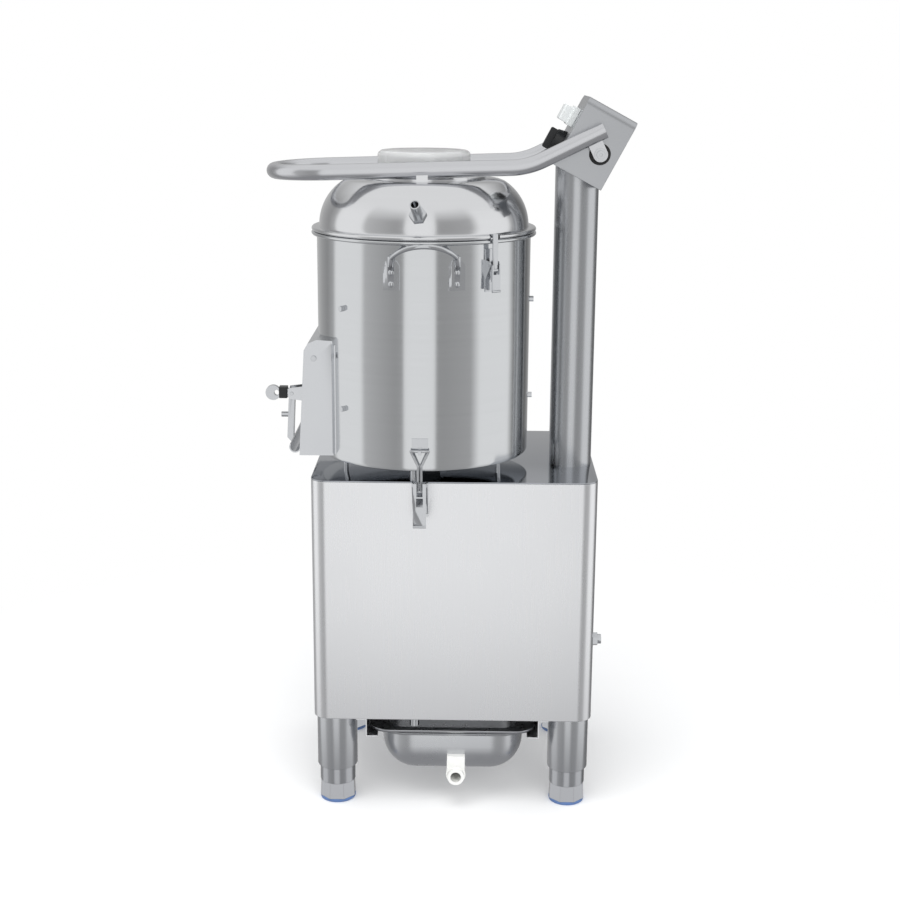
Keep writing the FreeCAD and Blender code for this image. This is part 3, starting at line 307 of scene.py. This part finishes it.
def plastic(name, shade, rough, grit_mm=1.0, relief=0.05, clear=0.0, coat=0.0, ior=1.49,
            mottling=0.06):
    """Moulded plastic or rubber: a faint moulded grain and slightly uneven colour."""
    made = bpy.data.materials.new(name)
    made.use_nodes = True
    tree = made.node_tree
    tree.nodes.clear()
    where = add(tree, "ShaderNodeTexCoord").outputs["Object"]
    grain = add(tree, "ShaderNodeTexNoise", {"Scale": 1000 / grit_mm / 4, "Detail": 3.0}, Vector=where)
    cloud = add(tree, "ShaderNodeTexNoise", {"Scale": 25.0, "Detail": 3.0}, Vector=where)
    base = linear(shade)
    dark = [c * (1 - mottling) for c in base[:3]] + [1.0]
    tint = add(tree, "ShaderNodeMix", {"data_type": "RGBA", 6: dark, 7: base}, _0=cloud.outputs["Fac"])
    uneven = add(tree, "ShaderNodeMath", {"operation": "MULTIPLY_ADD", 1: 0.12, 2: rough - 0.06},
                 _0=grain.outputs["Fac"])
    bump = add(tree, "ShaderNodeBump", {"Strength": relief, "Distance": 0.0004},
               Height=grain.outputs["Fac"])
    shader = add(tree, "ShaderNodeBsdfPrincipled", {"IOR": ior, "Transmission Weight": clear,
                                                    "Coat Weight": coat},
                 Base_Color=tint.outputs[2], Roughness=uneven.outputs[0], Normal=bump.outputs[0])
    add(tree, "ShaderNodeOutputMaterial", Surface=shader.outputs[0])
    return made


pad_blue = plastic("blue_moulded_pad", "#5C7BAF", 0.45, 1.2, 0.1)
SLEEVE = [(32, 66), (32, 64.2), (33, 63), (33.6, 63.4), (34, 64.4), (34, 157.8), (32, 157.8), (32, 66)]
FOOT = [(0, 34), (29.4, 34), (30, 34.6), (30, 64), (29, 65), (10, 65), (10, 112), (0, 112)]
PAD = [(0, 0), (28, 0), (29.6, 1.2), (30, 3), (30, 5.6), (29.4, 6), (0, 6)]
SKIRT_R_LOW, SKIRT_R_HIGH, SKIRT_H, SKIRT_MIDDLE_Z = 31.6, 30.2, 29, 20.5
EIGHTH = math.radians(22.5)
bm = bmesh.new()
for corner in ("front_left", "front_right", "rear_left", "rear_right"):
    low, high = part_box("foot_" + corner)
    middle = ((low.x + high.x) / 2, (low.y + high.y) / 2, 0)
    turned_piece(bm, SLEEVE, middle, 64)
    foot = bmesh.new()
    turned_piece(foot, FOOT, middle, 64)
    skirt = bmesh.ops.create_cone(foot, cap_ends=True, segments=8, radius1=SKIRT_R_LOW * MM,
                                  radius2=SKIRT_R_HIGH * MM, depth=SKIRT_H * MM)["verts"]
    bmesh.ops.rotate(foot, verts=skirt, matrix=Matrix.Rotation(EIGHTH, 3, "Z"))
    bmesh.ops.translate(foot, verts=skirt, vec=Vector(middle) + Vector((0, 0, SKIRT_MIDDLE_Z * MM)))
    piece(foot, "levelling_foot_" + corner + "_steel", "levelling_foot_" + corner,
          foot_satin, ["foot_" + corner], 30, 0.6 * MM)
    pad = bmesh.new()
    turned_piece(pad, PAD, middle, 48)
    piece(pad, "levelling_foot_" + corner + "_pad", "levelling_foot_" + corner,
          pad_blue)
piece(bm, "leg_tubes_satin", "stand", leg_satin, ["leg_tubes"])

# The peeling drum is spun from stainless sheet, polished, with a rolled bead round its mouth.
# It stands on three short pins and is open at the side where the discharge chute is welded on.
CHUTE_HALF = math.asin(98 / 175)
drum_bright = steel("stainless_polished_drum", "#D2D4D6", 0.12, (0.02, 0.02, 1), 0.7, 0.008, 0.02)


def wall_round(bm, profile, start, end, steps):
    """Part of a wall of revolution between two angles about the spindle."""
    turn = Matrix.Rotation(start, 3, "Z")
    rim = [bm.verts.new(turn @ Vector((r, 0, z)) * MM) for r, z in profile]
    edges = [bm.edges.new(pair) for pair in zip(rim, rim[1:])]
    bmesh.ops.spin(bm, geom=rim + edges, cent=(0, 0, 0), axis=(0, 0, 1), angle=end - start, steps=steps)


# Profiles in (radius, height): the rolled bead down to the chute's top, and the drum's floor.
ABOVE_CHUTE = [(173, 964.3), (180.6, 964.3), (182.4, 963.8), (183.5, 962.6), (183.8, 961.2),
               (183.4, 959.7), (182.2, 958.6), (180.4, 958.3), (177, 958.3), (175.4, 957.6),
               (175, 956), (175, 788)]
DRUM_FLOOR = [(175, 606), (175, 603), (174.2, 601), (172.6, 600.1), (27, 600), (27, 602), (172, 602),
              (173, 603), (173, 606)]
bm = bmesh.new()
wall_round(bm, ABOVE_CHUTE + DRUM_FLOOR + [(173, 788), (173, 964.3)],
           math.pi + CHUTE_HALF, 3 * math.pi - CHUTE_HALF, 180)
for profile in ([(173, 788), (173, 964.3)] + ABOVE_CHUTE + [(173, 788)], DRUM_FLOOR + [(175, 606)]):
    wall_round(bm, profile, math.pi - CHUTE_HALF, math.pi + CHUTE_HALF, 40)
piece(bm, "drum_wall", "stand", drum_bright, ["drum_shell"], drawn_at=SPINDLE)

# The handles are bent stainless rods between riveted lugs, one at the front and one at the
# back. Three short pins under the drum hold it clear of the cabinet.
hardware = steel("stainless_bright_hardware", "#C9CBCE", 0.16, (1, 1, 1), 1.5, 0.03, 0.05)
from_cad("drum_handles", hardware, 40)
for node in ("handle_rivets", "liner_screws", "drum_standoffs"):
    from_cad(node, hardware, 35)

# The abrasive: the turning disc and the drum's lining are cast from resin with silicon
# carbide grit of about 2 mm, nearly black with glinting grains.


def grit_finish():
    """Cast resin with coarse dark grit standing out of it."""
    made = bpy.data.materials.new("cast_grit")
    made.use_nodes = True
    tree = made.node_tree
    tree.nodes.clear()
    where = add(tree, "ShaderNodeTexCoord").outputs["Object"]
    grains = add(tree, "ShaderNodeTexVoronoi", {"Scale": 420.0}, Vector=where)
    cloud = add(tree, "ShaderNodeTexNoise", {"Scale": 30.0, "Detail": 4.0}, Vector=where)
    tint = add(tree, "ShaderNodeMix", {"data_type": "RGBA", "blend_type": "MULTIPLY", 0: 0.6,
                                       6: linear("#6E6A66")},
               _7=grains.outputs["Color"])
    dulled = add(tree, "ShaderNodeMix", {"data_type": "RGBA", 7: linear("#4A4744")},
                 _0=cloud.outputs["Fac"], _6=tint.outputs[2])
    bump = add(tree, "ShaderNodeBump", {"Strength": 0.8, "Distance": 0.001},
               Height=grains.outputs["Distance"])
    shader = add(tree, "ShaderNodeBsdfPrincipled", {"Roughness": 0.75},
                 Base_Color=dulled.outputs[2], Normal=bump.outputs[0])
    add(tree, "ShaderNodeOutputMaterial", Surface=shader.outputs[0])
    return made


cast_grit = grit_finish()
from_cad("abrasive_disc", cast_grit, 35, 1.0 * MM)
from_cad("abrasive_liner", cast_grit, 35)

# The discharge chute is folded sheet, welded to the drum. Its door hangs from two pins, and a
# hooked clamp with a ring pull holds it shut against a rubber seal.
chute_bright = steel("stainless_chute_sheet", "#D2D4D7", 0.22, (1, 1, 0.05), 0.6, 0.02, 0.04)
from_cad("chute_body", chute_bright, 30, 0.4 * MM)
from_cad("chute_door", chute_bright, 30, 0.4 * MM)
for node in ("door_hinge_pins", "door_clamp"):
    from_cad(node, hardware, 35, 0.4 * MM)
black_moulded = plastic("black_moulded_knob", "#17181A", 0.35, 0.8, 0.06)
from_cad("clamp_grip", black_moulded, 35, 1.0 * MM)
soft_rubber = plastic("black_rubber", "#1B1B1C", 0.6, 1.5, 0.12)
from_cad("door_seal", soft_rubber, 35, 0.8 * MM)

# The over-centre latches are pressed from thin bright sheet, each lever on a pin in its base.
# The upper one holds the lid by a claw, and the lower one the drum by a loop of bent wire.
for node in ("lid_latch_lever", "lid_latch_claw", "base_latch_lever", "base_latch_loop",
             "base_latch_bracket"):
    from_cad(node, hardware, 35, 0.3 * MM)
for node in ("lid_latch_base", "base_latch_catch"):
    from_cad(node, hardware, 35, 0.3 * MM)

# The lid is a spun dome of polished stainless with a rolled rim, notched where the latch's
# claw reaches over it. It sits loose on the drum's bead and hangs from the lever.
lid_mirror = steel("stainless_polished_lid", "#DCDDDF", 0.14, (0.03, 0.03, 1), 0.8, 0.008, 0.02)


def arc(centre, r, first, last, count):
    """Points of an arc in (radius, height), with angles in degrees."""
    return [(centre[0] + r * math.cos(math.radians(first + (last - first) * i / count)),
             centre[1] + r * math.sin(math.radians(first + (last - first) * i / count)))
            for i in range(count + 1)]


def through(first, mid, last, count):
    """Points on the arc through three points."""
    (ax, ay), (bx, by), (cx, cy) = first, mid, last
    d = 2 * (ax * (by - cy) + bx * (cy - ay) + cx * (ay - by))
    ux = ((ax**2 + ay**2) * (by - cy) + (bx**2 + by**2) * (cy - ay) + (cx**2 + cy**2) * (ay - by)) / d
    uy = ((ax**2 + ay**2) * (cx - bx) + (bx**2 + by**2) * (ax - cx) + (cx**2 + cy**2) * (bx - ax)) / d
    a0 = math.degrees(math.atan2(ay - uy, ax - ux))
    a1 = math.degrees(math.atan2(cy - uy, cx - ux))
    return arc((ux, uy), math.hypot(ax - ux, ay - uy), a0, a1, count)


LATCH_ANGLE = -52
NOTCH = (math.radians(LATCH_ANGLE - 2.07), math.radians(LATCH_ANGLE + 3.82))
dome_in = [(76, 1047.1), (100, 1047.1), (116, 1046.4), (130.8, 1042.5)] + \
    through((130.8, 1042.5), (159.2, 1012.6), (169, 982), 14)[1:] + [(170, 966)]
dome_out = [(172.2, 972.4), (171.2, 974.5), (170.5, 982)] + \
    through((170.5, 982), (160.5, 1013.5), (131.5, 1044), 16)[1:] + \
    [(124, 1046.8), (114, 1048.3), (100, 1048.6), (76, 1048.6), (76, 1047.1)]
rim = arc((180.0, 968.2), 3.5, -90, 90, 10) + [(178.0, 972.0), (174, 972.4)]
bm = bmesh.new()
wall_round(bm, dome_in + [(170, 964.7)] + rim + dome_out, NOTCH[1], NOTCH[0] + math.tau, 220)
cut_rim = [(178.0, 964.7), (178.0, 972.0), (174, 972.4)]
wall_round(bm, dome_in + [(170, 964.7)] + cut_rim + dome_out, NOTCH[0], NOTCH[1], 6)
piece(bm, "lid_dome_spun", "lid", lid_mirror, ["lid_dome"], 40, drawn_at=SPINDLE)

# The inspection cover is moulded in clear plastic. A flat ring clamps it to the lid's top, and
# two hangers welded to that ring tie the lid to the lever. The inlet pipe is screwed in below.
from_cad("lid_collar", lid_mirror, 35, 0.5 * MM)
clear_cover = plastic("moulded_clear_cover", "#F3F4F4", 0.14, 2.0, 0.02, 0.72, 0.0, 1.49, 0.02)
cover_out = [(72.5, 1048.6), (75.5, 1048.6), (75.5, 1084)] + \
    through((75.5, 1084), (72.9, 1090.4), (66.5, 1093), 6)[1:] + [(40, 1093), (0, 1093)]
cover_in = [(0, 1090), (40, 1090)] + \
    through((66.5, 1090), (70.7, 1088.2), (72.5, 1084), 5) + [(72.5, 1048.6)]
bm = bmesh.new()
turned_piece(bm, cover_out, (0, 0, 0), 128)
turned_piece(bm, cover_in, (0, 0, 0), 128)
piece(bm, "inspection_cover_clear", "lid", clear_cover, ["inspection_cover"], 50,
      drawn_at=SPINDLE)
from_cad("water_nozzle", hardware, 35, 0.3 * MM)

# The lid lever is one 25 mm tube bent to a U that runs either side of the lid and the head.
# Plates welded under its ends hang it from the shaft through the head.
lever_satin = steel("stainless_brushed_tube", "#CFD0D3", 0.20, (0.04, 1, 1), 0.6, 0.01, 0.02)


def bent_tube(bm, points, r, around=24):
    """A tube along a run of points, closed at both ends."""
    run = bpy.data.curves.new("run", "CURVE")
    run.dimensions = "3D"
    run.bevel_depth = r
    run.bevel_resolution = around // 4
    run.use_fill_caps = True
    line = run.splines.new("POLY")
    line.points.add(len(points) - 1)
    for spot, p in zip(line.points, points):
        spot.co = (*p, 1)
    carrier = bpy.data.objects.new("run", run)
    made = bpy.data.meshes.new_from_object(carrier)
    bm.from_mesh(made)
    bpy.data.objects.remove(carrier)
    bpy.data.curves.remove(run)
    bpy.data.meshes.remove(made)


def side_run(start, corner, end, r, count):
    """Points from start to end by a corner rounded to radius r, all in (x, z)."""
    a, b, c = Vector(start), Vector(corner), Vector(end)
    u, v = (a - b).normalized(), (c - b).normalized()
    half = u.angle(v) / 2
    reach = r / math.tan(half)
    first, last = b + u * reach, b + v * reach
    middle = b + (u + v).normalized() * (r / math.sin(half) - r)
    return [tuple(a)] + through(tuple(first), tuple(middle), tuple(last), count) + [tuple(c)]


LEVER_R, LEVER_Y, NOSE_X, FLAT_Z, SLOPE = 12.5, 95.0, -148.0, 1066.8, 0.0313
LEVER_END, LEVER_BEND, LEVER_BEND_R = (283.6, 1129.7), (164.8, 1072.0), 120
PIVOT_X, PIVOT_Z = 278.3, 1092
END_PLATE_R, END_PLATE_REACH = 11.5, 30
flat_end = (NOSE_X, FLAT_Z + SLOPE * NOSE_X)
arm = side_run(LEVER_END, LEVER_BEND, flat_end, LEVER_BEND_R, 12)
nose = [(NOSE_X - LEVER_Y * math.sin(math.pi * i / 40), -LEVER_Y * math.cos(math.pi * i / 40))
        for i in range(1, 40)]
lever_line = [Vector((x, -LEVER_Y, z)) * MM for x, z in arm] + \
    [Vector((x, y, FLAT_Z + SLOPE * x)) * MM for x, y in nose] + \
    [Vector((x, LEVER_Y, z)) * MM for x, z in reversed(arm)]
bm = bmesh.new()
bent_tube(bm, lever_line, LEVER_R * MM, 40)
lean = math.atan2(LEVER_END[1] - LEVER_BEND[1], LEVER_END[0] - LEVER_BEND[0])
for y0, y1 in ((-90, -84), (84, 90)):
    plate = bmesh.ops.create_circle(bm, cap_ends=True, segments=48, radius=END_PLATE_R * MM)["verts"]
    for v in plate:
        if v.co.y > 1e-5:
            v.co.y += END_PLATE_REACH * MM
    bmesh.ops.rotate(bm, verts=plate, matrix=Matrix.Rotation(math.radians(90), 3, "X"))
    bmesh.ops.rotate(bm, verts=plate, matrix=Matrix.Rotation(-lean, 3, "Y"))
    bmesh.ops.translate(bm, verts=plate, vec=(PIVOT_X * MM, y0 * MM, PIVOT_Z * MM))
    face = plate[0].link_faces[0]
    grown = bmesh.ops.extrude_face_region(bm, geom=[face], use_keep_orig=True)["geom"]
    bmesh.ops.translate(bm, verts=[g for g in grown if isinstance(g, bmesh.types.BMVert)],
                        vec=(0, (y1 - y0) * MM, 0))
piece(bm, "lid_lever_bent", "lid", lever_satin, ["lever_tube"], 40, drawn_at=SPINDLE)

# The column is a 71 mm stainless tube, welded to the top plate, that carries the wiring up to
# the head. Its top is cut to the head's slope.
HEAD_X, HEAD_Z, HEAD_TILT = 205.6, 1075.7, math.radians(28)
COLUMN_X, COLUMN_R, COLUMN_TOP = 248.5, 35.5, 1030
column_satin = steel("stainless_brushed_column", "#C4C6C9", 0.27, (1, 1, 0.03), 0.7, 0.012, 0.03)
bm = bmesh.new()
turned_piece(bm, [(33.5, 574), (COLUMN_R, 573), (COLUMN_R, 800), (COLUMN_R, COLUMN_TOP)],
             (COLUMN_X * MM, 0, 0), 96)
for v in bm.verts:
    if v.co.z > 1.0:
        v.co.z = (HEAD_Z - (v.co.x / MM - HEAD_X) * math.tan(HEAD_TILT) + 1.0) * MM
piece(bm, "column_brushed", "stand", column_satin, ["column_tube"], 60, drawn_at=SPINDLE)

# The control head is a folded box, tilted back, with its panel towards the operator.
# The push buttons sit under a clear moulded boot, above a black timer knob.


def on_head(bm, verts):
    """From head coordinates to the machine's frame."""
    bmesh.ops.rotate(bm, verts=verts, matrix=Matrix.Rotation(HEAD_TILT, 3, "Y"))
    bmesh.ops.translate(bm, verts=verts, vec=(HEAD_X * MM, 0, HEAD_Z * MM))


HEAD_D, HEAD_W, HEAD_H, HEAD_BEND = 86, 150, 118, 13
head_satin = steel("stainless_brushed_head", "#B9BBBE", 0.30, (0.05, 1, 1), 0.7, 0.012, 0.03)
bm = bmesh.new()
shell = bmesh.ops.create_cube(bm, size=1.0)["verts"]
bmesh.ops.scale(bm, vec=(HEAD_D * MM, HEAD_W * MM, HEAD_H * MM), verts=shell)
bmesh.ops.translate(bm, vec=(HEAD_D / 2 * MM, 0, HEAD_H / 2 * MM), verts=shell)
folds = [e for e in bm.edges if min(v.co.z for v in e.verts) > 0.1
         and abs(e.verts[0].co.y - e.verts[1].co.y) < 1e-6]
bmesh.ops.bevel(bm, geom=folds, offset=HEAD_BEND * MM, segments=8, profile=0.5, affect="EDGES",
                material=-1)
front = max(bm.faces, key=lambda f: -f.calc_center_median().x)
bmesh.ops.inset_region(bm, faces=[front], thickness=2 * MM, depth=0.0)
bmesh.ops.translate(bm, verts=front.verts, vec=(0.8 * MM, 0, 0))
on_head(bm, bm.verts)
piece(bm, "head_folded", "stand", head_satin, ["head_housing"], 35, 0.7 * MM,
      SPINDLE)
from_cad("control_panel", head_satin, 35)
boot_clear = plastic("moulded_splash_boot", "#D6D9D9", 0.38, 1.5, 0.01, 0.0, 0.1, 1.45, 0.02)
from_cad("button_boot", boot_clear, 35, 0.8 * MM)
for node, colour, shade in (("start_button", "green", "#1E7A3C"), ("stop_button", "red", "#B3201E")):
    button = plastic(colour + "_moulded_button", shade, 0.3, 1.0, 0.04)
    from_cad(node, button, 35, 0.8 * MM)
for node in ("timer_knob", "safety_switch"):
    from_cad(node, black_moulded, 35, 0.6 * MM)
from_cad("pivot_bushes", soft_rubber, 35, 0.8 * MM)
from_cad("pivot_shaft", hardware, 35, 0.5 * MM)

# The drain pan and its strainer are pressed stainless trays whose rims hang on the rails, so
# they slide out to the front. A white moulded spout is screwed through the pan's front wall.
pressed_satin = steel("stainless_pressed_tray", "#CFD1D4", 0.28, (1, 1, 1), 2.0, 0.02, 0.05)


PAN_X, PAN_RIM_HALF, PAN_RIM_Y0, PAN_RIM_Y1, PAN_SHEET = 54.0, 139, -135, 189, 1.2


def tray(bm, half_width, y0, y1, z0, rim_z, rim_h, r):
    """A pressed tray: a well with large radii, its wall, and a flat rim round the top."""
    well = bmesh.ops.create_cube(bm, size=1.0)["verts"]
    bmesh.ops.scale(bm, vec=Vector((2 * half_width, y1 - y0, rim_z + rim_h - z0)) * MM, verts=well)
    bmesh.ops.translate(bm, vec=Vector((PAN_X, (y0 + y1) / 2, (z0 + rim_z + rim_h) / 2)) * MM,
                        verts=well)
    round_off = [e for e in bm.edges if min(v.co.z for v in e.verts) < (z0 + 1) * MM]
    bmesh.ops.bevel(bm, geom=round_off, offset=r * MM, segments=10, profile=0.5, affect="EDGES",
                    material=-1, clamp_overlap=True)
    lid_face = max(bm.faces, key=lambda f: f.calc_center_median().z)
    mouth = list(lid_face.edges)
    bmesh.ops.delete(bm, geom=[lid_face], context="FACES_ONLY")
    grown = bmesh.ops.extrude_edge_only(bm, edges=mouth)["geom"]
    outer = [g for g in grown if isinstance(g, bmesh.types.BMVert)]
    for v in outer:
        across = (v.co.x / MM - PAN_X) / half_width
        along = (v.co.y / MM - (y0 + y1) / 2) / ((y1 - y0) / 2)
        v.co.x = (PAN_X + across * PAN_RIM_HALF) * MM
        v.co.y = ((PAN_RIM_Y0 + PAN_RIM_Y1) / 2 + along * (PAN_RIM_Y1 - PAN_RIM_Y0) / 2) * MM
    turned_down = [g for g in grown if isinstance(g, bmesh.types.BMEdge)
                   and all(v in outer for v in g.verts)]
    skirt = bmesh.ops.extrude_edge_only(bm, edges=turned_down)["geom"]
    bmesh.ops.translate(bm, verts=[g for g in skirt if isinstance(g, bmesh.types.BMVert)],
                        vec=(0, 0, -(rim_h - PAN_SHEET) * MM))
    bmesh.ops.recalc_face_normals(bm, faces=bm.faces)


for name, sizes in (("drain_pan", (118.5, -131, 185, 52, 128.3, 4.2, 56)),
                    ("strainer_pan", (108, -121, 175, 92, 132.7, 5.6, 28))):
    bm = bmesh.new()
    tray(bm, *sizes)
    made = piece(bm, name + "_pressed", "pan", pressed_satin, [name], 40,
                 drawn_at=SPINDLE)
    wall = made.modifiers.new("sheet", "SOLIDIFY")
    wall.thickness = PAN_SHEET * MM
    wall.offset = -1.0
spout_white = plastic("white_moulded_spout", "#EFEFEC", 0.3, 1.2, 0.05, 0.0, 0.15)
from_cad("drain_spout", spout_white, 35, 1.0 * MM)
from_cad("drain_pipe", leg_satin, 35)
from_cad("cable_gland", hardware, 35, 0.4 * MM)

# Inside the cabinet: the motor hangs on its plate and drives the spindle by two rubber belts
# over cast pulleys. The spindle is ground steel and runs in a cast housing under the top plate.
cast_grey = plastic("grey_cast_iron", "#5B5E62", 0.6, 2.5, 0.35, 0.0, 0.0, 1.5, 0.15)
motor_paint = plastic("blue_grey_motor_paint", "#4A5866", 0.4, 2.0, 0.1, 0.0, 0.2)
ground_steel = steel("ground_steel_shaft", "#A2A4A8", 0.25, (0.2, 0.2, 1), 0.8, 0.05, 0.05)
for node in ("bearing_housing", "drive_pulley", "motor_pulley", "motor_plate"):
    from_cad(node, cast_grey, 35, 0.6 * MM)
from_cad("motor_body", motor_paint, 35, 0.8 * MM)
for node in ("spindle", "bearings", "motor_shaft"):
    from_cad(node, ground_steel, 35, 0.4 * MM)
for node in ("drive_belts", "water_seal"):
    from_cad(node, soft_rubber, 35)

bpy.context.view_layer.update()
